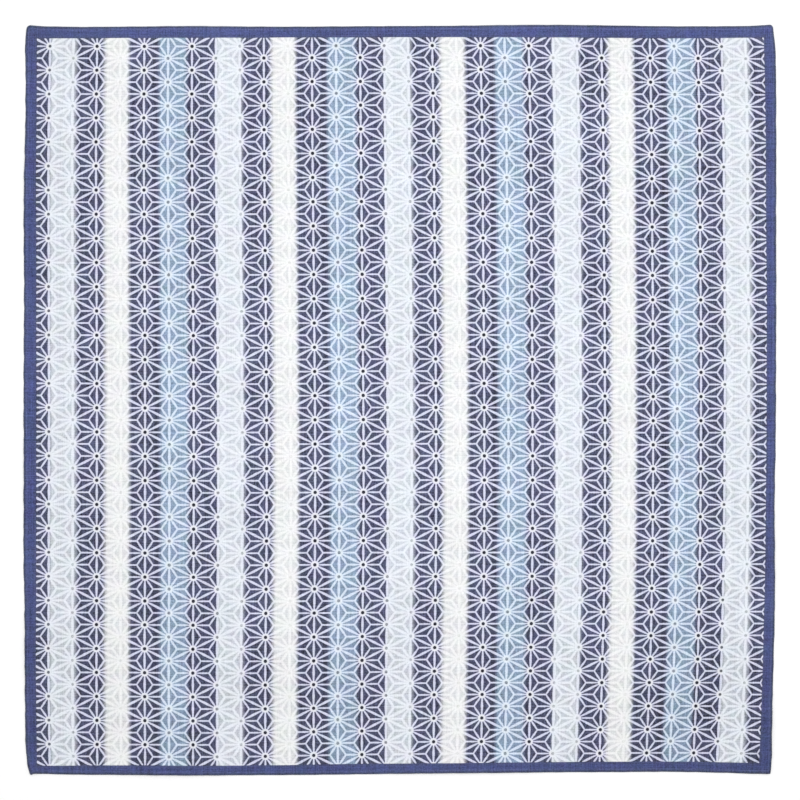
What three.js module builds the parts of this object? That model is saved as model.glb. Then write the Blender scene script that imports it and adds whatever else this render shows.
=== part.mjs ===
import * as THREE from "three";

// Furoshiki: one square of printed cotton laid out flat, face up, with a narrow hem turned under on all four edges.
// Millimetres, +Z up. The origin is the middle of the underside's box; X runs across the cloth, Y up it.

// ---- sizes -------------------------------------------------------------------------------------------------------
const HALF = 350; // half the nominal square: the edge table below says how far each edge really stands from it
const CLOTH_THICK = 1.2; // the plain cloth as a slab
const HEM_THICK = 1.9; // the hem: the same cloth turned twice
const HEM_WIDTH = 4.0; // from the fold at the edge to the hem's inner edge
const HEM_SLOPE = 0.9; // across which the hem drops to the plain cloth
const MARGIN = 14; // first grid line inside the hem
const CELLS = 24; // grid cells between the two margins, each way
const STATION_STEP = 50; // between the rows of the edge table

// How far each edge stands outside the nominal square, in mm. `at` runs left to right on the top and bottom edges and
// bottom to top on the left and right ones, from the middle of the side.
const EDGES = [
  { at: -350, left: -1.3, right: -3.0, top: -0.5, bottom: -1.6 },
  { at: -300, left: -0.3, right: -2.8, top: -1.4, bottom: -0.6 },
  { at: -250, left: -0.2, right: -1.3, top: -1.1, bottom: -0.5 },
  { at: -200, left: 0.1, right: -0.1, top: -0.9, bottom: -0.1 },
  { at: -150, left: 1.2, right: -0.2, top: -1.2, bottom: -0.1 },
  { at: -100, left: 1.0, right: -0.4, top: -1.2, bottom: -0.3 },
  { at: -50, left: 0.8, right: 0.7, top: -0.9, bottom: -0.8 },
  { at: 0, left: 1.1, right: 1.1, top: -0.6, bottom: -1.6 },
  { at: 50, left: 1.0, right: 1.2, top: -0.4, bottom: -2.3 },
  { at: 100, left: 0.7, right: 1.1, top: 0.0, bottom: -2.6 },
  { at: 150, left: 1.0, right: 1.0, top: 0.1, bottom: -2.9 },
  { at: 200, left: 0.5, right: 1.4, top: -0.2, bottom: -3.0 },
  { at: 250, left: -0.4, right: 1.4, top: -0.8, bottom: -3.3 },
  { at: 300, left: -0.7, right: 1.2, top: -0.8, bottom: -2.4 },
  { at: 350, left: 0.0, right: 0.4, top: -0.6, bottom: -0.9 },
];

// Where each corner's tip lies, how far along the upright and level edges it draws them with it, and its rounding.
const CORNERS = [
  { corner: "bottom_left", x: -344.6, y: -350.4, upright: 34, level: 5.5, round: 2.4 },
  { corner: "bottom_right", x: 345.7, y: -348.6, upright: 23, level: 28, round: 0.8 },
  { corner: "top_left", x: -347.4, y: 350.5, upright: 25, level: 19, round: 3.8 },
  { corner: "top_right", x: 347.8, y: 350.7, upright: 42, level: 47, round: 3.2 },
];

// Soft swells where the cloth doesn't lie quite down: middle, turn of the long axis in degrees, half length, half
// width and rise, in mm. Everywhere else the cloth touches the surface.
const SWELLS = [
  { x: -353, y: 205, turn: 90, length: 70, width: 30, rise: 1.6 },
  { x: -353, y: -60, turn: 90, length: 85, width: 26, rise: 1.3 },
  { x: -350, y: -235, turn: 90, length: 60, width: 30, rise: 1.7 },
  { x: 353, y: 120, turn: 90, length: 90, width: 28, rise: 1.5 },
  { x: 350, y: -140, turn: 90, length: 80, width: 32, rise: 1.8 },
  { x: 346, y: -305, turn: 60, length: 60, width: 38, rise: 2.1 },
  { x: -180, y: 352, turn: 0, length: 75, width: 26, rise: 1.4 },
  { x: 130, y: 352, turn: 0, length: 95, width: 30, rise: 1.7 },
  { x: -215, y: -351, turn: 0, length: 80, width: 28, rise: 1.6 },
  { x: 60, y: -349, turn: 0, length: 110, width: 32, rise: 1.9 },
  { x: -160, y: 140, turn: 35, length: 120, width: 40, rise: 0.9 },
  { x: 180, y: 90, turn: -50, length: 140, width: 42, rise: 1.0 },
  { x: -90, y: -190, turn: 15, length: 150, width: 42, rise: 0.9 },
  { x: 225, y: -215, turn: -30, length: 120, width: 40, rise: 1.2 },
];

// ---- the outline -------------------------------------------------------------------------------------------------
const corner = Object.fromEntries(CORNERS.map((row) => [row.corner, row]));

// A smooth curve through one column of the edge table.
function standsOut(column, at) {
  const last = EDGES.length - 1;
  const t = THREE.MathUtils.clamp((at + HALF) / STATION_STEP, 0, last);
  const i = Math.min(Math.floor(t), last - 1);
  const f = t - i;
  const value = (k) => EDGES[THREE.MathUtils.clamp(k, 0, last)][column];
  return (
    value(i - 1) * (-0.5 * f + f * f - 0.5 * f ** 3) +
    value(i) * (1 - 2.5 * f * f + 1.5 * f ** 3) +
    value(i + 1) * (0.5 * f + 2 * f * f - 1.5 * f ** 3) +
    value(i + 2) * (-0.5 * f * f + 0.5 * f ** 3)
  );
}

// One edge, from share 0 to share 1 of its length, drawn to the corner's tip at each end.
function edgeLine(column, share) {
  const upright = column === "left" || column === "right";
  const sign = column === "left" || column === "bottom" ? -1 : 1;
  const [along, across] = upright ? ["y", "x"] : ["x", "y"];
  const tips = upright
    ? [corner["bottom_" + column], corner["top_" + column]]
    : [corner[column + "_left"], corner[column + "_right"]];
  const line = (at) => sign * (HALF + standsOut(column, at));
  const at = THREE.MathUtils.lerp(tips[0][along], tips[1][along], share);
  let out = line(at);
  for (const tip of tips) {
    const reach = upright ? tip.upright : tip.level;
    const drawn = Math.max(0, 1 - Math.abs(at - tip[along]) / reach) ** 3;
    out += (tip[across] - line(tip[along])) * drawn;
  }
  return upright ? new THREE.Vector2(out, at) : new THREE.Vector2(at, out);
}

// The point of the cloth at shares u across and v up, blended between the four edges and rounded at the corners.
function onCloth(u, v) {
  const [b, t] = [edgeLine("bottom", u), edgeLine("top", u)];
  const [l, r] = [edgeLine("left", v), edgeLine("right", v)];
  const [b0, b1] = [edgeLine("bottom", 0), edgeLine("bottom", 1)];
  const [t0, t1] = [edgeLine("top", 0), edgeLine("top", 1)];
  const mix = (k) =>
    (1 - v) * b[k] + v * t[k] + (1 - u) * l[k] + u * r[k] -
    ((1 - u) * (1 - v) * b0[k] + u * (1 - v) * b1[k] + (1 - u) * v * t0[k] + u * v * t1[k]);
  const p = new THREE.Vector2(mix("x"), mix("y"));
  for (const tip of CORNERS) {
    const awayX = 2 * HALF * (tip.x < 0 ? u : 1 - u);
    const awayY = 2 * HALF * (tip.y < 0 ? v : 1 - v);
    const rounded = Math.max(0, 1 - awayX / tip.round) ** 2 * Math.max(0, 1 - awayY / tip.round) ** 2;
    p.x -= Math.sign(tip.x) * 0.293 * tip.round * rounded;
    p.y -= Math.sign(tip.y) * 0.293 * tip.round * rounded;
  }
  return p;
}

// How far the underside is lifted off the surface at a point.
function lift(p) {
  return SWELLS.reduce((sum, s) => {
    const a = THREE.MathUtils.degToRad(s.turn);
    const [dx, dy] = [p.x - s.x, p.y - s.y];
    const along = (dx * Math.cos(a) + dy * Math.sin(a)) / s.length;
    const across = (-dx * Math.sin(a) + dy * Math.cos(a)) / s.width;
    const q = along * along + across * across;
    return q < 1 ? sum + s.rise * (1 - q) ** 2 : sum;
  }, 0);
}

// ---- the sheet ---------------------------------------------------------------------------------------------------
// Distances of the grid lines from the left or bottom edge: close together at the hem, even in between.
const lines = [0, HEM_WIDTH, HEM_WIDTH + HEM_SLOPE];
for (let i = 0; i <= CELLS; i++)
  lines.push(MARGIN + (i / CELLS) * (2 * HALF - 2 * MARGIN));
lines.push(2 * HALF - HEM_WIDTH - HEM_SLOPE, 2 * HALF - HEM_WIDTH, 2 * HALF);
const N = lines.length;
const inHem = (k) => k <= 1 || k >= N - 2;

function clothGeometry() {
  const position = [];
  for (const top of [false, true])
    lines.forEach((y, j) =>
      lines.forEach((x, i) => {
        const p = onCloth(x / (2 * HALF), y / (2 * HALF));
        const thick = inHem(i) || inHem(j) ? HEM_THICK : CLOTH_THICK;
        position.push(p.x, p.y, lift(p) + (top ? thick : 0));
      }),
    );
  const under = (i, j) => j * N + i;
  const over = (i, j) => N * N + j * N + i;
  const index = [];
  for (let j = 0; j < N - 1; j++)
    for (let i = 0; i < N - 1; i++) {
      index.push(over(i, j), over(i + 1, j), over(i + 1, j + 1));
      index.push(over(i, j), over(i + 1, j + 1), over(i, j + 1));
      index.push(under(i, j), under(i + 1, j + 1), under(i + 1, j));
      index.push(under(i, j), under(i, j + 1), under(i + 1, j + 1));
    }
  // The turned edge, all the way round, seen from outside.
  const rim = [];
  for (let k = 0; k < N - 1; k++) rim.push([k, 0]);
  for (let k = 0; k < N - 1; k++) rim.push([N - 1, k]);
  for (let k = N - 1; k > 0; k--) rim.push([k, N - 1]);
  for (let k = N - 1; k > 0; k--) rim.push([0, k]);
  rim.forEach(([i, j], k) => {
    const [m, n] = rim[(k + 1) % rim.length];
    index.push(under(i, j), under(m, n), over(m, n));
    index.push(under(i, j), over(m, n), over(i, j));
  });
  const geometry = new THREE.BufferGeometry();
  geometry.setAttribute("position", new THREE.Float32BufferAttribute(position, 3));
  geometry.setIndex(index);
  // The outline's box is centred on the origin and stands on z = 0.
  geometry.computeBoundingBox();
  const box = geometry.boundingBox;
  geometry.translate(
    -(box.min.x + box.max.x) / 2,
    -(box.min.y + box.max.y) / 2,
    -box.min.z,
  );
  geometry.computeVertexNormals();
  return geometry;
}

const printedCotton = new THREE.MeshStandardMaterial({
  color: 0x6c7396,
  roughness: 0.92,
  metalness: 0,
  flatShading: true,
});

const cloth = new THREE.Mesh(clothGeometry(), printedCotton);
cloth.name = "cloth";

const furoshiki = new THREE.Group();
furoshiki.add(cloth);

export default furoshiki;
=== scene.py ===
"""Furoshiki: a square of printed cotton laid out flat, face up. Metres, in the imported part's frame; the cloth's own
sizes below are in millimetres and are turned to metres as each mesh is made."""

import math

import bpy
import numpy as np
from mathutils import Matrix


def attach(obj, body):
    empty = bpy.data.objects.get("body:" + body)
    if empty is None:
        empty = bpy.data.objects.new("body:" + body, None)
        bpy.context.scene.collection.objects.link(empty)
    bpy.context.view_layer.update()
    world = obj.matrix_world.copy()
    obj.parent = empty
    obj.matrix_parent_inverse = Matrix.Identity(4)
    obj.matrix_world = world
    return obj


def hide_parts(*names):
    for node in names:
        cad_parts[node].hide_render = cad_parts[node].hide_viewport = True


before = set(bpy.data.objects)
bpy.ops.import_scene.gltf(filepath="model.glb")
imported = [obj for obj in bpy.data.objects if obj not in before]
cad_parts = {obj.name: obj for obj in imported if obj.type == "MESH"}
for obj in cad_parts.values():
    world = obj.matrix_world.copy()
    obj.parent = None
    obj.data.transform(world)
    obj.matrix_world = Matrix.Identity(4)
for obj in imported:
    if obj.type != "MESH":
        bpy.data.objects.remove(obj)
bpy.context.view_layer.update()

MM = 0.001

# ---- the cloth's outline, as in the part's source -----------------------------------------------------------------
HALF = 350.0
STATION_STEP = 50.0
#          at   left  right   top  bottom
EDGES = np.array([
    (-350, -1.3, -3.0, -0.5, -1.6),
    (-300, -0.3, -2.8, -1.4, -0.6),
    (-250, -0.2, -1.3, -1.1, -0.5),
    (-200,  0.1, -0.1, -0.9, -0.1),
    (-150,  1.2, -0.2, -1.2, -0.1),
    (-100,  1.0, -0.4, -1.2, -0.3),
    ( -50,  0.8,  0.7, -0.9, -0.8),
    (   0,  1.1,  1.1, -0.6, -1.6),
    (  50,  1.0,  1.2, -0.4, -2.3),
    ( 100,  0.7,  1.1,  0.0, -2.6),
    ( 150,  1.0,  1.0,  0.1, -2.9),
    ( 200,  0.5,  1.4, -0.2, -3.0),
    ( 250, -0.4,  1.4, -0.8, -3.3),
    ( 300, -0.7,  1.2, -0.8, -2.4),
    ( 350,  0.0,  0.4, -0.6, -0.9),
])
COLUMN = {"left": 1, "right": 2, "top": 3, "bottom": 4}

# Each corner's tip, how far along the upright and level edges it draws them with it, and its rounding.
CORNERS = {
    "bottom_left": dict(x=-344.6, y=-350.4, upright=34.0, level=5.5, round=2.4),
    "bottom_right": dict(x=345.7, y=-348.6, upright=23.0, level=28.0, round=0.8),
    "top_left": dict(x=-347.4, y=350.5, upright=25.0, level=19.0, round=3.8),
    "top_right": dict(x=347.8, y=350.7, upright=42.0, level=47.0, round=3.2),
}

# Soft swells: middle, turn of the long axis in degrees, half length, half width, rise.
SWELLS = [
    (-353, 205, 90, 70, 30, 1.6),
    (-353, -60, 90, 85, 26, 1.3),
    (-350, -235, 90, 60, 30, 1.7),
    (353, 120, 90, 90, 28, 1.5),
    (350, -140, 90, 80, 32, 1.8),
    (346, -305, 60, 60, 38, 2.1),
    (-180, 352, 0, 75, 26, 1.4),
    (130, 352, 0, 95, 30, 1.7),
    (-215, -351, 0, 80, 28, 1.6),
    (60, -349, 0, 110, 32, 1.9),
    (-160, 140, 35, 120, 40, 0.9),
    (180, 90, -50, 140, 42, 1.0),
    (-90, -190, 15, 150, 42, 0.9),
    (225, -215, -30, 120, 40, 1.2),
]

# ---- how the print lies on the cloth -------------------------------------------------------------------------------
# The star lattice: the first column of stars and its first star, and the steps between columns and between stars.
FIRST_COLUMN_X, FIRST_STAR_Y = -327.7, 330.4
COLUMN_STEP, STAR_STEP = 22.515, 22.485
# The drift of the print where the cloth lies a little askew: thousandths of a step, a row for each height up the
# cloth, a column for each place across it, both from -350 to 350 in equal steps.
DRIFT_ACROSS = np.array([
    (-42, -3, 20, 13, 66, 125, 262, 344),
    (11, 26, 23, 15, 10, 39, 90, 157),
    (2, 13, -18, -38, -46, -45, -16, 66),
    (-8, 9, -29, -49, -59, -61, -53, 16),
    (-8, 13, -8, -20, -39, -45, -52, -15),
    (5, 35, 35, 22, -2, -14, -20, 26),
    (0, 56, 70, 67, 38, 21, 13, 46),
    (-87, 22, 77, 93, 110, 112, 85, 147),
]) / 1000.0
DRIFT_DOWN = np.array([
    (46, 19, 18, 104, 161, 157, 190, 163),
    (20, 2, -27, 8, 67, 74, 74, 70),
    (4, -30, -41, -16, -13, -3, -14, 13),
    (8, -17, -32, -1, 1, -6, -41, -17),
    (20, 3, -14, 17, 24, 3, -31, -23),
    (32, 27, 24, 47, 50, 34, -6, -15),
    (30, 37, 38, 67, 73, 44, 7, -8),
    (6, -8, 1, 19, 25, 10, 10, -26),
]) / 1000.0
# How far the stripes were printed to the right of their places, in columns, at these columns.
STRIPES_OFF = np.array([
    (0.0, 0.036), (1.1, 0.01), (2.3, 0.045), (3.35, 0.02), (4.64, 0.0), (5.76, -0.004), (7.0, 0.0), (8.1, -0.055),
    (9.3, 0.01), (10.3, -0.022), (11.6, 0.0), (12.8, 0.027), (14.0, -0.008), (15.1, -0.028), (16.3, 0.013),
    (17.35, 0.0), (18.6, -0.045), (19.75, -0.013), (21.0, -0.045), (22.1, -0.08), (23.2, -0.025), (24.3, -0.048),
    (25.7, 0.068), (26.85, 0.08), (28.0, 0.02), (29.2, 0.028),
])
# How far the printed panel's edge lies inside the nominal square.
#          at   left  right   top  bottom
PANEL = np.array([
    (-350, 11.3, 14.9, 12.0,  8.8),
    (-300, 10.7, 13.1, 12.0,  9.1),
    (-250, 10.4, 11.1, 11.7,  9.4),
    (-200, 10.5,  9.9, 11.6,  9.1),
    (-150, 10.5,  9.0, 11.6,  9.1),
    (-100, 10.6,  8.4, 11.2,  9.6),
    ( -50, 10.7,  7.7, 11.2, 10.5),
    (   0, 10.8,  7.5, 11.0, 11.1),
    (  50, 10.6,  7.4, 11.0, 11.6),
    ( 100, 10.6,  7.5, 11.1, 12.0),
    ( 150, 10.6,  8.0, 11.4, 12.4),
    ( 200, 10.5,  8.1, 11.7, 12.7),
    ( 250, 10.8,  8.3, 12.0, 12.8),
    ( 300, 11.0,  9.1, 11.8, 12.2),
    ( 350, 11.2, 10.3, 11.1, 11.3),
])

# ---- the cloth's thickness -----------------------------------------------------------------------------------------
CLOTH = 0.42          # one layer
HEM = 1.08            # three layers, sewn down
HEM_WIDTH = 4.0
HEM_RUNS_OUT = 11.0   # where the cloth inside the hem has come down to the surface
UNDER_HEM = 0.12      # the hem's underside stands on its stitches
FOLD_ROUND = 0.75     # rounding of the folded edge
STITCH_LINE = 3.1     # from the edge
STITCH_STEP = 3.0
STITCH_LENGTH = 2.35
THREAD = 0.16         # half the sewing thread's thickness


def spline(x, at, values):
    """Catmull-Rom through evenly spaced stations, held at the ends."""
    last = len(at) - 1
    t = np.clip((np.asarray(x, float) - at[0]) / (at[1] - at[0]), 0, last)
    i = np.minimum(np.floor(t).astype(int), last - 1)
    f = t - i
    v = np.asarray(values, float)
    return (
        v[np.maximum(i - 1, 0)] * (-0.5 * f + f * f - 0.5 * f**3)
        + v[i] * (1 - 2.5 * f * f + 1.5 * f**3)
        + v[i + 1] * (0.5 * f + 2 * f * f - 1.5 * f**3)
        + v[np.minimum(i + 2, last)] * (-0.5 * f * f + 0.5 * f**3)
    )


def patch(x, y, table):
    """The same in both directions, for the drift tables."""
    at = np.linspace(-HALF, HALF, table.shape[0])
    last = len(at) - 1

    def weights(q):
        t = np.clip((q - at[0]) / (at[1] - at[0]), 0, last)
        i = np.minimum(np.floor(t).astype(int), last - 1)
        f = t - i
        w = [
            -0.5 * f + f * f - 0.5 * f**3,
            1 - 2.5 * f * f + 1.5 * f**3,
            0.5 * f + 2 * f * f - 1.5 * f**3,
            -0.5 * f * f + 0.5 * f**3,
        ]
        return [(np.clip(i + k - 1, 0, last), w[k]) for k in range(4)]

    return sum(table[j, i] * a * b for j, b in weights(y) for i, a in weights(x))


def smooth(low, high, x):
    t = np.clip((x - low) / (high - low), 0, 1)
    return t * t * (3 - 2 * t)


def edge_line(side, share):
    """One edge, from share 0 to 1 of its length, drawn to the corner's tip at each end."""
    upright = side in ("left", "right")
    sign = -1.0 if side in ("left", "bottom") else 1.0
    along, across = ("y", "x") if upright else ("x", "y")
    names = [f"bottom_{side}", f"top_{side}"] if upright else [f"{side}_left", f"{side}_right"]
    tips = [CORNERS[name] for name in names]

    def line(q):
        return sign * (HALF + spline(q, EDGES[:, 0], EDGES[:, COLUMN[side]]))

    at = tips[0][along] + np.asarray(share, float) * (tips[1][along] - tips[0][along])
    out = line(at)
    for tip in tips:
        reach = tip["upright" if upright else "level"]
        drawn = np.maximum(0, 1 - np.abs(at - tip[along]) / reach) ** 3
        out = out + (tip[across] - line(tip[along])) * drawn
    return (out, at) if upright else (at, out)


def on_cloth(u, v):
    """Points of the cloth at shares u across and v up, both arrays, blended between the four edges and rounded at
    the corners."""
    u, v = np.asarray(u, float), np.asarray(v, float)
    b, t = edge_line("bottom", u), edge_line("top", u)
    l, r = edge_line("left", v), edge_line("right", v)
    b0, b1 = edge_line("bottom", 0.0), edge_line("bottom", 1.0)
    t0, t1 = edge_line("top", 0.0), edge_line("top", 1.0)
    x, y = (
        (1 - v) * b[k] + v * t[k] + (1 - u) * l[k] + u * r[k]
        - ((1 - u) * (1 - v) * b0[k] + u * (1 - v) * b1[k] + (1 - u) * v * t0[k] + u * v * t1[k])
        for k in (0, 1)
    )
    for tip in CORNERS.values():
        away_x = 2 * HALF * (u if tip["x"] < 0 else 1 - u)
        away_y = 2 * HALF * (v if tip["y"] < 0 else 1 - v)
        rounded = np.maximum(0, 1 - away_x / tip["round"]) ** 2 * np.maximum(0, 1 - away_y / tip["round"]) ** 2
        x = x - math.copysign(0.293 * tip["round"], tip["x"]) * rounded
        y = y - math.copysign(0.293 * tip["round"], tip["y"]) * rounded
    return [x, y]


def swell(x, y):
    total = np.zeros_like(x)
    for sx, sy, turn, length, width, rise in SWELLS:
        a = math.radians(turn)
        dx, dy = x - sx, y - sy
        q = ((dx * math.cos(a) + dy * math.sin(a)) / length) ** 2 + (
            (-dx * math.sin(a) + dy * math.cos(a)) / width
        ) ** 2
        total += rise * np.maximum(0, 1 - q) ** 2
    return total


def waves(q, terms):
    """A sum of unequal waves: (length in mm, height, start) rows."""
    return sum(h * np.sin(2 * math.pi * q / length + start) for length, h, start in terms)


# The sewn edges are drawn in and out a little between the stitches' pulls.
EDGE_WAVES = {
    "left": [(23.1, 0.16, 0.4), (11.7, 0.12, 2.1), (37.0, 0.10, 4.0)],
    "right": [(27.3, 0.11, 1.3), (13.9, 0.07, 0.2), (41.0, 0.08, 2.6)],
    "top": [(31.0, 0.06, 2.2), (17.3, 0.05, 5.0)],
    "bottom": [(29.0, 0.06, 0.9), (15.1, 0.04, 3.1)],
}
PUCKER_WAVES = {
    "left": [(23.1, 0.5, 1.9), (11.7, 0.5, 0.3)],
    "right": [(27.3, 0.5, 2.9), (13.9, 0.5, 4.2)],
    "top": [(31.0, 0.5, 0.2), (17.3, 0.5, 1.0)],
    "bottom": [(29.0, 0.5, 5.2), (15.1, 0.5, 2.0)],
}
PUCKER = 0.16


def hem_rise(d):
    """How far the top face stands over the plain cloth's, by distance from the edge."""
    return (HEM - CLOTH) * (1 - smooth(HEM_WIDTH - 0.5, HEM_RUNS_OUT, d))


def face_heights(x, y, dx, dy):
    """Heights of the printed face and the underside over the surface that the cloth lies on."""
    rise = hem_rise(dx) + hem_rise(dy)
    d = np.minimum(dx, dy)
    lift = swell(x, y)
    sides = {"left": (y, dx, x < 0), "right": (y, dx, x > 0), "bottom": (x, dy, y < 0), "top": (x, dy, y > 0)}
    pucker = np.zeros_like(x)
    for side, (along, away, here) in sides.items():
        pucker += np.where(here, (1 + waves(along, PUCKER_WAVES[side])) * 0.5 * PUCKER * np.exp(-away / 5.0), 0)
    settle = 0.10 * (
        np.sin(x / 17.0 + 1.1 * np.sin(y / 43.0)) * np.sin(y / 21.0 + 0.9 * np.sin(x / 37.0))
        + 0.6 * np.sin((x + 0.7 * y) / 9.5)
    ) * smooth(6, 20, d)
    top = CLOTH + rise + lift + pucker + np.maximum(settle, -0.12) + 0.16 * smooth(6, 20, d)
    # The sewn line is pressed in a little.
    for away in (dx, dy):
        top -= 0.14 * np.exp(-(((away - STITCH_LINE) / 0.45) ** 2)) * (np.minimum(dx, dy) > 1.5)
    inner = smooth(HEM_WIDTH + 0.05, HEM_WIDTH + 0.35, d)
    under = UNDER_HEM + lift * 1.0
    bottom = np.where(d > HEM_WIDTH, under * (1 - inner) + (top - CLOTH) * inner, under)
    bottom = np.maximum(bottom, 0.0)
    # The fold at the edge: both faces meet half way up.
    q = np.sqrt(np.maximum(0, 1 - np.maximum(0, 1 - d / FOLD_ROUND) ** 2))
    middle = (top + bottom) / 2
    return middle + (top - middle) * q, middle + (bottom - middle) * q


def grid_lines():
    """Distances from the left or bottom edge: close together in the hem, even in between."""
    near = [0, 0.12, 0.35, 0.75, 1.4, 2.1, 2.7, 3.1, 3.5, 4.0, 4.35, 4.9, 5.8, 7.0, 8.6, 10.8, 13.5]
    inside = np.linspace(17.0, 2 * HALF - 17.0, 165)
    return np.array(near + list(inside) + [2 * HALF - q for q in reversed(near)])


LINES = grid_lines()
N = len(LINES)

# The part's box is centred on its origin, so its outline was moved by this much.
cad_lines = np.array([0, 4.0, 4.9] + [14 + i / 24 * (2 * HALF - 28) for i in range(25)] + [695.1, 696.0, 700.0])
cu, cv = np.meshgrid(cad_lines / (2 * HALF), cad_lines / (2 * HALF))
cx, cy = on_cloth(cu, cv)
MOVED_X, MOVED_Y = (cx.min() + cx.max()) / 2, (cy.min() + cy.max()) / 2


def print_places(x, y):
    """Print coordinates: star columns across and star steps down, both from the first star."""
    across = (x - FIRST_COLUMN_X) / COLUMN_STEP + patch(x, y, DRIFT_ACROSS)
    down = (FIRST_STAR_Y - y) / STAR_STEP + patch(x, y, DRIFT_DOWN)
    return across, down


def panel_places(x, y):
    """How far inside the printed panel a point is, from its upright and from its level edges."""
    at = PANEL[:, 0]
    left = x + HALF - spline(y, at, PANEL[:, 1])
    right = HALF - spline(y, at, PANEL[:, 2]) - x
    top = HALF - spline(x, at, PANEL[:, 3]) - y
    bottom = y + HALF - spline(x, at, PANEL[:, 4])
    return np.minimum(left, right), np.minimum(top, bottom)


def mesh_object(name, verts, faces, material):
    me = bpy.data.meshes.new(name)
    verts = np.asarray(verts, np.float32)
    faces = np.asarray(faces, np.int32)
    me.vertices.add(len(verts))
    me.vertices.foreach_set("co", verts.ravel())
    me.loops.add(faces.size)
    me.loops.foreach_set("vertex_index", faces.ravel())
    me.polygons.add(len(faces))
    me.polygons.foreach_set("loop_start", np.arange(0, faces.size, faces.shape[1], dtype=np.int32))
    me.polygons.foreach_set("use_smooth", np.ones(len(faces), bool))
    me.update(calc_edges=True)
    me.validate()
    me.materials.append(material)
    ob = bpy.data.objects.new(name, me)
    bpy.context.scene.collection.objects.link(ob)
    return ob


def uv_map(me, name, per_corner):
    layer = me.uv_layers.new(name=name, do_init=False)
    layer.uv.foreach_set("vector", np.asarray(per_corner, np.float32).ravel())


# How bright a white sheet of paper comes out in the middle of the light.
LIGHT = 1.12


# ---- materials -----------------------------------------------------------------------------------------------------
def linear(r, g, b):
    """A colour given as it shows under the studio light, 0-255, for the node sockets."""
    def one(c):
        c /= 255.0
        return c / 12.92 if c <= 0.04045 else ((c + 0.055) / 1.055) ** 2.4
    return (one(r) / LIGHT, one(g) / LIGHT, one(b) / LIGHT, 1.0)


class Graph:
    """Short names for building a node tree."""

    def __init__(self, material):
        material.use_nodes = True
        self.nt = material.node_tree
        self.nt.nodes.clear()

    def node(self, kind, **settings):
        n = self.nt.nodes.new(kind)
        for key, value in settings.items():
            setattr(n, key, value)
        return n

    def put(self, socket, value):
        if isinstance(value, bpy.types.NodeSocket):
            self.nt.links.new(value, socket)
        elif value is not None:
            socket.default_value = value

    def math(self, operation, *values):
        n = self.node("ShaderNodeMath", operation=operation)
        for socket, value in zip(n.inputs, values):
            self.put(socket, value)
        return n.outputs[0]

    def add(self, a, b):
        return self.math("ADD", a, b)

    def sub(self, a, b):
        return self.math("SUBTRACT", a, b)

    def mul(self, a, b):
        return self.math("MULTIPLY", a, b)

    def div(self, a, b):
        return self.math("DIVIDE", a, b)

    def low(self, a, b):
        return self.math("MINIMUM", a, b)

    def high(self, a, b):
        return self.math("MAXIMUM", a, b)

    def flip(self, a):
        return self.math("SUBTRACT", 1.0, a)

    def step(self, low, high, x):
        """Smooth step up from low to high."""
        n = self.node("ShaderNodeMapRange", interpolation_type="SMOOTHSTEP")
        for socket, value in zip(n.inputs, (x, low, high, 0.0, 1.0)):
            self.put(socket, value)
        return n.outputs[0]

    def ramp(self, x, a, b, to_a, to_b):
        n = self.node("ShaderNodeMapRange", interpolation_type="LINEAR")
        for socket, value in zip(n.inputs, (x, a, b, to_a, to_b)):
            self.put(socket, value)
        return n.outputs[0]

    def mix(self, factor, a, b, blend="MIX"):
        n = self.node("ShaderNodeMix", data_type="RGBA", blend_type=blend)
        self.put(n.inputs[0], factor)
        self.put(n.inputs[6], a)
        self.put(n.inputs[7], b)
        return n.outputs[2]

    def uv(self, name):
        n = self.node("ShaderNodeUVMap", uv_map=name)
        s = self.node("ShaderNodeSeparateXYZ")
        self.put(s.inputs[0], n.outputs[0])
        return s.outputs[0], s.outputs[1]

    def vector(self, x, y, z=0.0):
        n = self.node("ShaderNodeCombineXYZ")
        for socket, value in zip(n.inputs, (x, y, z)):
            self.put(socket, value)
        return n.outputs[0]

    def noise(self, vector, scale, detail=2.0, rough=0.5):
        n = self.node("ShaderNodeTexNoise", noise_dimensions="3D")
        self.put(n.inputs["Vector"], vector)
        self.put(n.inputs["Scale"], scale)
        self.put(n.inputs["Detail"], detail)
        self.put(n.inputs["Roughness"], rough)
        return n.outputs[0]

    def bell(self, x, middle, width):
        """1 at middle, falling away over width."""
        q = self.div(self.sub(x, middle), width)
        return self.math("EXPONENT", self.mul(self.mul(q, q), -1.0))


# Inks and cloth, as display values under the soft white light.
NAVY = linear(83, 87, 114)
PALE = linear(211, 217, 226)
WHITE = linear(231, 233, 235)
BLUE = linear(145, 165, 190)
BORDER = linear(81, 90, 141)
RAY_ON_NAVY = linear(220, 223, 245)
RING_ON_NAVY = linear(238, 240, 248)
RAY_ON_PALE = linear(239, 244, 252)
RAY_ON_WHITE = linear(249, 250, 251)
RAY_ON_BLUE = linear(220, 233, 251)
RING_ON_BLUE = linear(231, 241, 251)
DOT_ON_NAVY = linear(48, 50, 62)
DOT_ON_LINE = linear(143, 147, 154)
DOT_FIRST = linear(100, 103, 114)
DOT_FOURTH = linear(184, 188, 196)
DOT_LAST = linear(112, 116, 124)
DOT_ON_PALE = linear(184, 189, 195)
DOT_ON_WHITE = linear(232, 234, 233)
DOT_ON_BLUE = linear(141, 150, 162)
COTTON = linear(233, 232, 228)
BLACK = (0.0, 0.0, 0.0, 1.0)
# The folded edge's navy: painted shade, a little faded to grey.
RIM_SHADE_AND_FADE = linear(76, 84, 108)

DOT, RING = 1.62, 3.62         # radii at each star
BLEED = 0.30                   # softness of the printed edges
TIP = 0.9                      # rounding of the rays' ends at the panel's edge


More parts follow.
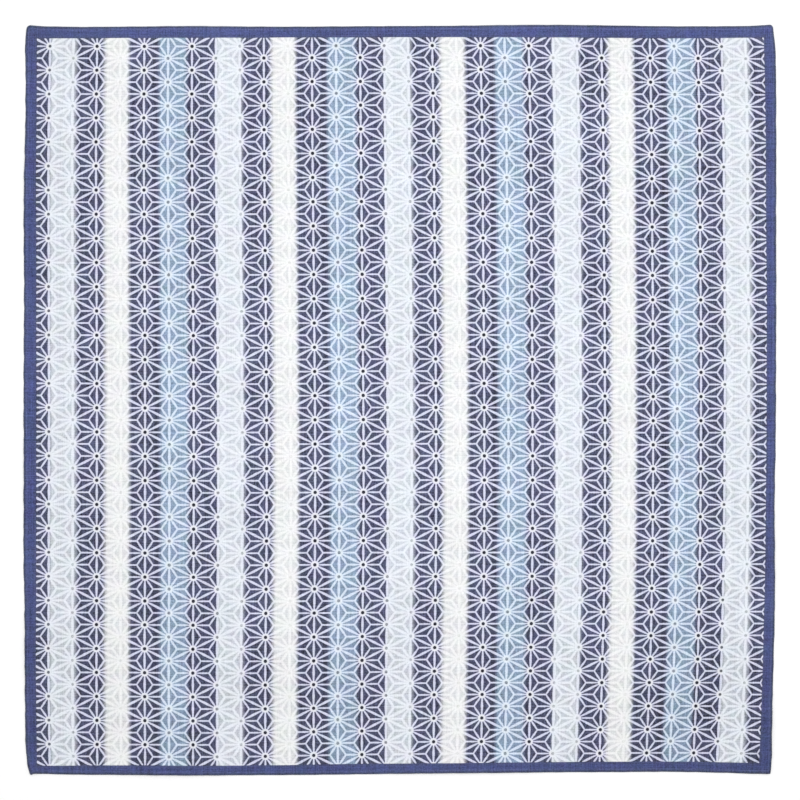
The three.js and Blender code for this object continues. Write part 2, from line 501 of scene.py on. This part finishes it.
def printed_cotton():
    m = bpy.data.materials.new("printed_cotton")
    g = Graph(m)
    across, down = g.uv("Print")
    striped, _ = g.uv("Stripe")
    in_x, in_y = g.uv("Panel")
    edge, side = g.uv("Edge")  # distance from the cloth's edge; 0 on the printed face, 1 on the back
    u = g.mul(across, COLUMN_STEP)
    v = g.mul(down, STAR_STEP)
    # Slight unevenness of the ink's edge.
    ragged = g.mul(g.sub(g.noise(g.vector(u, v, 3.0), 0.9, 2.0), 0.5), 0.34)

    # -- the stripes: seven columns to a repeat --
    phase = g.add(g.math("MODULO", g.add(striped, 71.0), 7.0), g.mul(ragged, 0.05))
    pale = g.mul(g.step(0.91, 1.12, phase), g.flip(g.step(1.945, 2.26, phase)))
    white = g.mul(g.step(3.14, 3.455, phase), g.flip(g.step(4.18, 4.46, phase)))
    blue = g.mul(g.step(5.53, 5.75, phase), g.flip(g.step(6.64, 6.87, phase)))

    # -- the star lattice, folded to one eighth of a repeat --
    column = g.math("FLOOR", across)
    odd = g.math("MODULO", g.add(column, 64.0), 2.0)
    x0 = g.sub(across, column)
    y0 = g.math("PINGPONG", g.add(g.add(down, 64.0), g.mul(odd, 0.5)), 0.5)
    far = g.math("GREATER_THAN", x0, 0.5)
    near = g.flip(far)
    x = g.add(g.mul(x0, near), g.mul(g.flip(x0), far))
    y = g.add(g.mul(y0, near), g.mul(g.sub(0.5, y0), far))
    xm, ym = g.mul(x, COLUMN_STEP), g.mul(y, STAR_STEP)

    def line(distance, half_width):
        return g.sub(distance, half_width)

    # Each ray leaves the star narrow and swells along its length.
    upright = line(xm, g.ramp(y, 0.14, 0.50, 0.61, 1.15))
    slanting = line(
        g.math("ABSOLUTE", g.sub(g.mul(xm, 0.4472), g.mul(ym, 0.8944))), g.ramp(x, 0.14, 0.50, 0.61, 1.15)
    )
    steep = line(
        g.math("ABSOLUTE", g.sub(g.mul(xm, 0.83205), g.mul(ym, 0.5547))), g.low(g.ramp(y, 0.12, 0.26, 0.54, 0.90), g.ramp(y, 0.28, 0.46, 0.90, 0.67))
    )
    level = line(ym, g.low(g.ramp(x, 0.15, 0.38, 0.42, 0.82), g.ramp(x, 0.38, 0.55, 0.84, 0.70)))
    past = g.high(g.sub(COLUMN_STEP / 3, xm), 0.0)
    up = g.sub(STAR_STEP / 2, ym)
    level_end = line(
        g.math("SQRT", g.add(g.mul(past, past), g.mul(up, up))), 0.72
    )
    star = g.math("SQRT", g.add(g.mul(xm, xm), g.mul(ym, ym)))
    rays = g.low(g.low(g.low(upright, slanting), g.low(steep, level)), level_end)
    rays = g.low(rays, g.sub(star, RING))
    rays = g.sub(g.add(rays, ragged), 0.030)
    # The pale inks leave them a little wider and softer than the dark one does.
    rays = g.sub(rays, g.add(g.mul(pale, 0.34), g.add(g.mul(white, 0.34), g.mul(blue, 0.13))))
    bleed = g.add(BLEED, g.add(g.mul(pale, 0.38), g.add(g.mul(white, 0.38), g.mul(blue, 0.10))))
    # Rounded ends at the panel's edge.
    inside = g.low(in_x, in_y)
    a = g.add(rays, TIP)
    b = g.sub(TIP, inside)
    ap, bp = g.high(a, 0.0), g.high(b, 0.0)
    tipped = g.sub(
        g.add(g.math("SQRT", g.add(g.mul(ap, ap), g.mul(bp, bp))), g.low(g.high(a, b), 0.0)), TIP
    )
    ray = g.flip(g.step(g.mul(bleed, -1.0), bleed, tipped))
    ring = g.flip(g.step(RING - 0.7, RING + 0.5, star))
    # A dot has one size and colour, by the column that its star stands in: a pale one is smaller.
    spot = g.math("ROUND", g.add(across, 70.0))
    kind = g.math("MODULO", spot, 7.0)
    smaller = 0.0
    for number, by in ((0.0, 0.22), (1.0, 0.26), (3.0, 0.20), (5.0, 0.13)):
        smaller = g.add(smaller, g.mul(g.math("COMPARE", kind, number, 0.4), by))
    radius = g.add(star, g.add(g.mul(ragged, 0.5), smaller))
    dot = g.flip(g.step(DOT - BLEED, DOT + BLEED, radius))

    def by_stripe(on_navy, on_pale, on_white, on_blue):
        c = g.mix(pale, on_navy, on_pale)
        c = g.mix(white, c, on_white)
        return g.mix(blue, c, on_blue)

    cell = by_stripe(NAVY, PALE, WHITE, BLUE)
    # The navy is a little denser where it runs up to another ink.
    fringe = 0.0
    for place, width, depth in (
        (2.31, 0.05, 0.22), (3.11, 0.07, 0.17), (4.51, 0.08, 0.14), (5.45, 0.085, 0.36), (6.90, 0.06, 0.26)
    ):
        fringe = g.add(fringe, g.mul(g.bell(phase, place, width), depth))
    cell = g.mix(fringe, cell, BLACK)
    # Painted shade: the inks are darkened towards the lower edge and the sides, the navy's most, standing in for the
    # light falling off there.
    painted_falloff_shade = g.low(
        g.add(
            g.step(17.5, 29.0, down),
            g.add(g.mul(g.flip(g.step(0.9, 5.0, across)), 0.45), g.mul(g.step(20.0, 28.5, across), 0.22)),
        ),
        1.15,
    )
    falloff_shade_depth = g.sub(g.sub(g.sub(0.175, g.mul(pale, 0.055)), g.mul(white, 0.118)), g.mul(blue, 0.045))
    cell = g.mix(g.mul(painted_falloff_shade, falloff_shade_depth), cell, BLACK)
    left_bare = by_stripe(
        g.mix(ring, RAY_ON_NAVY, RING_ON_NAVY), RAY_ON_PALE, RAY_ON_WHITE, g.mix(ring, RAY_ON_BLUE, RING_ON_BLUE)
    )
    # The bare rays take a little of the same painted shade.
    printed = g.mix(ray, cell, g.mix(g.mul(painted_falloff_shade, 0.022), left_bare, BLACK))
    spots = DOT_ON_NAVY
    for number, colour in ((0.0, DOT_ON_LINE), (1.0, DOT_ON_PALE), (3.0, DOT_ON_WHITE), (5.0, DOT_ON_BLUE)):
        spots = g.mix(g.math("COMPARE", kind, number, 0.4), spots, colour)
    # On the stripes' hard left edges it depends on how the stripe was laid.
    for number, colour in ((70.0, DOT_FIRST), (91.0, DOT_FOURTH), (98.0, DOT_LAST)):
        spots = g.mix(g.math("COMPARE", spot, number, 0.4), spots, colour)
    printed = g.mix(dot, printed, spots)

    # -- the border --
    # Painted shade along the folded edge, where the rolled hem turns down away from the light; its navy is also a
    # little faded to grey.
    rim_shade_and_fade = g.flip(g.step(0.7, 3.0, edge))
    # Painted highlight along the raised ridge of the hem.
    ridge_highlight = g.bell(edge, 2.95, 0.65)
    border = g.mix(g.mul(rim_shade_and_fade, 0.85), BORDER, RIM_SHADE_AND_FADE)
    border = g.mix(g.mul(ridge_highlight, 0.15), border, linear(150, 160, 205))
    # The border takes the same painted shade towards the lower edge and the sides.
    border = g.mix(g.mul(painted_falloff_shade, 0.18), border, BLACK)
    # Beside the panel the navy runs into it a little.
    border = g.mix(g.mul(g.bell(inside, -0.7, 1.4), 0.40), border, NAVY)
    panel = g.step(-0.32, 0.32, g.add(inside, g.mul(ragged, 0.8)))
    face = g.mix(panel, border, printed)

    # -- cloth: threads, slubs and uneven ink --
    weft = g.noise(g.vector(g.mul(u, 0.02), g.mul(v, 1.1), 1.0), 1.0, 2.0, 0.6)
    warp = g.noise(g.vector(g.mul(u, 1.1), g.mul(v, 0.02), 7.0), 1.0, 2.0, 0.6)
    mottle = g.noise(g.vector(u, v, 11.0), 0.75, 3.0, 0.65)
    broad = g.noise(g.vector(u, v, 17.0), 0.02, 2.0)
    threads = g.mul(
        g.math("SINE", g.mul(u, math.pi / 0.5)), g.math("SINE", g.mul(v, math.pi / 0.5))
    )
    uneven = g.add(
        g.add(g.mul(g.sub(weft, 0.5), 1.45), g.mul(g.sub(warp, 0.5), 1.35)),
        g.add(
            g.add(g.mul(g.sub(mottle, 0.5), 2.5), g.mul(g.sub(broad, 0.5), 0.45)),
            g.mul(threads, 0.06),
        ),
    )
    # Pale cloth shows far less of it than the dark ink, the navy in the panel shows most, and the border a little less.
    bright = g.node("ShaderNodeRGBToBW")
    g.put(bright.inputs[0], face)
    dark = g.mul(panel, g.flip(g.step(0.08, 0.24, bright.outputs[0])))
    strength = g.mul(
        g.ramp(bright.outputs[0], 0.05, 0.8, 1.0, 0.16),
        g.add(g.add(0.86, g.mul(panel, 0.14)), g.mul(dark, 0.40)),
    )
    shade = g.add(1.0, g.mul(uneven, strength))
    # The dye's hue wanders a little too, towards violet here and green there.
    wander = g.ramp(bright.outputs[0], 0.05, 0.8, 0.30, 0.08)
    tint = g.node("ShaderNodeCombineColor")
    for socket, seed in zip(tint.inputs, (23.0, 31.0, 41.0)):
        hue = g.noise(g.vector(u, v, seed), 0.11, 2.0)
        g.put(socket, g.add(shade, g.mul(g.sub(hue, 0.5), wander)))
    face = g.mix(1.0, face, tint.outputs[0], "MULTIPLY")

    # -- the back: the print showing through, paler and patchier --
    through = g.ramp(mottle, 0.3, 0.7, 0.30, 0.46)
    back = g.mix(through, COTTON, face)
    colour = g.mix(side, face, back)

    bsdf = g.node("ShaderNodeBsdfPrincipled")
    g.put(bsdf.inputs["Base Color"], colour)
    g.put(bsdf.inputs["Roughness"], g.ramp(mottle, 0.3, 0.7, 0.84, 0.96))
    bsdf.inputs["Specular IOR Level"].default_value = 0.18
    bsdf.inputs["Sheen Weight"].default_value = 0.06
    bsdf.inputs["Sheen Roughness"].default_value = 0.6
    height = g.add(
        g.mul(threads, 0.5), g.add(g.mul(g.sub(weft, 0.5), 1.2), g.mul(g.sub(warp, 0.5), 1.2))
    )
    bump = g.node("ShaderNodeBump")
    bump.inputs["Strength"].default_value = 0.35
    bump.inputs["Distance"].default_value = 0.00008
    g.put(bump.inputs["Height"], height)
    g.put(bsdf.inputs["Normal"], bump.outputs[0])
    out = g.node("ShaderNodeOutputMaterial")
    g.put(out.inputs["Surface"], bsdf.outputs[0])
    return m


def sewing_thread():
    m = bpy.data.materials.new("sewing_thread")
    g = Graph(m)
    place = g.node("ShaderNodeTexCoord").outputs["Object"]
    twist = g.noise(place, 2600.0, 2.0)
    colour = g.mix(twist, linear(66, 74, 122), linear(104, 112, 162))
    bsdf = g.node("ShaderNodeBsdfPrincipled")
    g.put(bsdf.inputs["Base Color"], colour)
    g.put(bsdf.inputs["Roughness"], g.ramp(twist, 0.3, 0.7, 0.55, 0.75))
    bsdf.inputs["Specular IOR Level"].default_value = 0.3
    bump = g.node("ShaderNodeBump")
    bump.inputs["Strength"].default_value = 0.4
    bump.inputs["Distance"].default_value = 0.00005
    g.put(bump.inputs["Height"], twist)
    g.put(bsdf.inputs["Normal"], bump.outputs[0])
    out = g.node("ShaderNodeOutputMaterial")
    g.put(out.inputs["Surface"], bsdf.outputs[0])
    return m


# ---- the cloth -----------------------------------------------------------------------------------------------------
FACE_PART = 0.742   # share of the bake map's side that the printed face takes


def cloth_points(lx, ly):
    """Places on the cloth for distances lx, ly from the left and bottom edges: x, y and the distances inwards."""
    x, y = on_cloth(lx / (2 * HALF), ly / (2 * HALF))
    dx = np.minimum(lx, 2 * HALF - lx)
    dy = np.minimum(ly, 2 * HALF - ly)
    fade_x, fade_y = np.exp(-dx / 7.0), np.exp(-dy / 7.0)
    x = x + np.where(lx < HALF, -waves(y, EDGE_WAVES["left"]), waves(y, EDGE_WAVES["right"])) * fade_x * smooth(0, 12, dy)
    y = y + np.where(ly < HALF, -waves(x, EDGE_WAVES["bottom"]), waves(x, EDGE_WAVES["top"])) * fade_y * smooth(0, 12, dx)
    return x, y, dx, dy


def make_cloth(material):
    lx, ly = np.meshgrid(LINES, LINES)
    x, y, dx, dy = cloth_points(lx, ly)
    top, bottom = face_heights(x, y, dx, dy)
    mx, my = x - MOVED_X, y - MOVED_Y
    over = np.stack([mx, my, top], -1).reshape(-1, 3)
    under = np.stack([mx, my, bottom], -1)[1:-1, 1:-1].reshape(-1, 3)
    verts = np.concatenate([over, under]) * MM
    ids = np.arange(N * N).reshape(N, N)
    low_ids = ids.copy()
    low_ids[1:-1, 1:-1] = N * N + np.arange((N - 2) * (N - 2)).reshape(N - 2, N - 2)

    def quads(g, up):
        a, b, c, d = g[:-1, :-1], g[:-1, 1:], g[1:, 1:], g[1:, :-1]
        order = (a, b, c, d) if up else (a, d, c, b)
        return np.stack([q.ravel() for q in order], -1)

    faces = np.concatenate([quads(low_ids, False), quads(ids, True)])
    ob = mesh_object("cloth_sheet", verts, faces, material)
    me = ob.data

    # Each map's values by vertex, then by face corner.
    def both(values):
        return np.concatenate([values.reshape(-1), values[1:-1, 1:-1].reshape(-1)])

    across, down = print_places(x, y)
    in_x, in_y = panel_places(x, y)
    d = np.minimum(dx, dy)
    corner = faces.ravel()
    uv_map(me, "Print", np.stack([both(across)[corner], both(down)[corner]], -1))
    striped = across - np.interp(across, STRIPES_OFF[:, 0], STRIPES_OFF[:, 1])
    uv_map(me, "Stripe", np.stack([both(striped)[corner], both(down)[corner]], -1))
    uv_map(me, "Panel", np.stack([both(in_x)[corner], both(in_y)[corner]], -1))
    n_low = (N - 1) * (N - 1) * 4
    is_back = np.zeros(len(corner))
    is_back[:n_low] = smooth(HEM_WIDTH - 0.05, HEM_WIDTH + 0.3, both(d)[corner][:n_low])
    uv_map(me, "Edge", np.stack([both(d)[corner], is_back], -1))

    # The map that a bake uses: the printed face large, the back in two upright halves beside it.
    px = both(lx / (2 * HALF))[corner]
    py = both(ly / (2 * HALF))[corner]
    bake = np.stack([0.004 + px * (FACE_PART - 0.008), 0.004 + py * (FACE_PART - 0.008)], -1)
    quad_x = (lx[:-1, :-1] + lx[1:, 1:]).ravel() / (4 * HALF)
    right_half = np.repeat(quad_x > 0.5, 4)
    bx, by = px[:n_low], py[:n_low]
    cut = LINES[N // 2] / (2 * HALF)
    split = (LINES[:-1] + LINES[1:]) / (4 * HALF)
    first_right = LINES[:-1][split > 0.5].min() / (2 * HALF)
    width, height = 0.240, 0.480
    sx = np.where(right_half, (bx - first_right) / (1 - first_right), bx / first_right)
    bake[:n_low, 0] = FACE_PART + 0.010 + sx * width
    bake[:n_low, 1] = np.where(right_half, 0.506, 0.006) + by * height
    uv_map(me, "OFBake", bake)
    me.uv_layers.active = me.uv_layers["OFBake"]
    return ob


# ---- the hem's stitches --------------------------------------------------------------------------------------------
def stitch_shape(sides=6):
    """One stitch along X, one long, its ends dipping into the cloth: points and faces."""
    rows = [(-0.50, 0.30, -0.9), (-0.42, 0.8, -0.25), (-0.22, 1.0, 0.22), (0.0, 1.0, 0.32), (0.22, 1.0, 0.22), (0.42, 0.8, -0.25), (0.50, 0.30, -0.9)]
    pts, faces = [], []
    for at, size, rise in rows:
        for k in range(sides):
            a = 2 * math.pi * k / sides
            pts.append((at, math.cos(a) * size, math.sin(a) * size * 0.85 + rise))
    for r in range(len(rows) - 1):
        for k in range(sides):
            m = (k + 1) % sides
            faces.append((r * sides + k, r * sides + m, (r + 1) * sides + m, (r + 1) * sides + k))
    pts.append((rows[0][0] - 0.01, 0, rows[0][2]))
    pts.append((rows[-1][0] + 0.01, 0, rows[-1][2]))
    first, last = len(pts) - 2, len(pts) - 1
    base = (len(rows) - 1) * sides
    tris = []
    for k in range(sides):
        m = (k + 1) % sides
        tris.append((first, m, k))
        tris.append((last, base + k, base + m))
    return np.array(pts), np.array(faces), np.array(tris)


def make_stitches(material):
    rng = np.random.default_rng(11)
    pts, quads, tris = stitch_shape()
    # Quads are split so that every face is a triangle.
    shape = np.concatenate([quads[:, [0, 1, 2]], quads[:, [0, 2, 3]], tris])
    all_pts, all_faces, count = [], [], 0
    for side in ("left", "right", "top", "bottom"):
        upright = side in ("left", "right")
        inset = STITCH_LINE if side in ("left", "bottom") else 2 * HALF - STITCH_LINE
        along = np.arange(STITCH_LINE, 2 * HALF - STITCH_LINE, STITCH_STEP)
        along = along + rng.uniform(-0.12, 0.12, len(along))
        wander = inset + 0.12 * np.sin(along / 31.0 + len(side)) + rng.uniform(-0.05, 0.05, len(along))
        length = STITCH_LENGTH * rng.uniform(0.93, 1.05, len(along))
        for face in ("over", "under"):
            ends = []
            for s in (-0.5, 0.5):
                a = along + s * length
                lx, ly = (wander, a) if upright else (a, wander)
                x, y, dx, dy = cloth_points(lx, ly)
                top, bottom = face_heights(x, y, dx, dy)
                z = top if face == "over" else bottom
                ends.append(np.stack([x - MOVED_X, y - MOVED_Y, z], -1))
            p, q = ends
            middle, run = (p + q) / 2, q - p
            size = np.linalg.norm(run, axis=1, keepdims=True)
            tx = run / size
            ty = np.cross([0.0, 0.0, 1.0], tx)
            ty /= np.linalg.norm(ty, axis=1, keepdims=True)
            tz = np.cross(tx, ty)
            if face == "under":
                ty, tz = -ty, -tz
            sink = 0.02 if face == "over" else -0.015
            world = (
                middle[:, None]
                + pts[None, :, :1] * size[:, None] * tx[:, None]
                + pts[None, :, 1:2] * THREAD * ty[:, None]
                + (pts[None, :, 2:3] * THREAD * (1.0 if face == "over" else 0.55) + sink) * tz[:, None]
            )
            n = len(middle)
            all_pts.append(world.reshape(-1, 3))
            all_faces.append((shape[None] + (count + np.arange(n) * len(pts))[:, None, None]).reshape(-1, 3))
            count += n * len(pts)
    verts = np.concatenate(all_pts) * MM
    verts[:, 2] = np.maximum(verts[:, 2], 0.0)
    return mesh_object("hem_stitches", verts, np.concatenate(all_faces), material)


cotton = printed_cotton()
thread = sewing_thread()
cloth = make_cloth(cotton)
stitches = make_stitches(thread)

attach(cloth, "root")
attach(stitches, "root")
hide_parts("cloth")

# ---- floor, light and camera ---------------------------------------------------------------------------------------
def make_floor():
    m = bpy.data.materials.new("floor_paper")
    g = Graph(m)
    place = g.node("ShaderNodeTexCoord").outputs["Object"]
    grain = g.noise(place, 40.0, 2.0)
    bsdf = g.node("ShaderNodeBsdfPrincipled")
    g.put(bsdf.inputs["Base Color"], g.mix(grain, (0.98, 0.98, 0.98, 1), (0.995, 0.995, 0.995, 1)))
    g.put(bsdf.inputs["Roughness"], 0.9)
    bsdf.inputs["Specular IOR Level"].default_value = 0.1
    out = g.node("ShaderNodeOutputMaterial")
    g.put(out.inputs["Surface"], bsdf.outputs[0])
    r = 6.0
    ob = mesh_object("floor", [(-r, -r, 0), (r, -r, 0), (r, r, 0), (-r, r, 0)], [(0, 1, 2, 3)], m)
    ob.location.z = -0.0001
    return ob


make_floor()

scene = bpy.context.scene
scene.view_settings.view_transform = "Standard"
scene.view_settings.look = "None"
scene.view_settings.exposure = 0.0
scene.view_settings.gamma = 1.0

world = bpy.data.worlds.new("studio")
world.use_nodes = True
world.node_tree.nodes["Background"].inputs["Color"].default_value = (1.0, 1.0, 1.0, 1.0)
world.node_tree.nodes["Background"].inputs["Strength"].default_value = 0.635
scene.world = world

# A broad softbox over the cloth, brightest a little above its middle.
softbox_data = bpy.data.lights.new("softbox", "AREA")
softbox_data.shape = "SQUARE"
softbox_data.size = 0.9
SOFTBOX_HEIGHT = 1.5
softbox_data.energy = 0.56 * math.pi**2 * SOFTBOX_HEIGHT**2 * 1.06
softbox = bpy.data.objects.new("softbox", softbox_data)
scene.collection.objects.link(softbox)
softbox.location = (0.07, 0.18, SOFTBOX_HEIGHT)
softbox.visible_camera = False

# The photograph's frame: 800 x 800, the cloth straight below the camera.
MM_PER_STEP = 0.9333
FRAME_MM = 800 * MM_PER_STEP
LENS, SENSOR = 85.0, 36.0
cam_data = bpy.data.cameras.new("camera")
cam_data.lens = LENS
cam_data.sensor_width = SENSOR
cam_data.clip_start = 0.01
cam_data.clip_end = 50.0
cam = bpy.data.objects.new("camera", cam_data)
scene.collection.objects.link(cam)
cam.location = (
    ((400 - 399.8) * MM_PER_STEP - MOVED_X) * MM,
    ((400.35 - 400) * MM_PER_STEP - MOVED_Y) * MM,
    FRAME_MM * MM * LENS / SENSOR + 0.0008,
)
cam.rotation_euler = (0, 0, 0)
scene.camera = cam
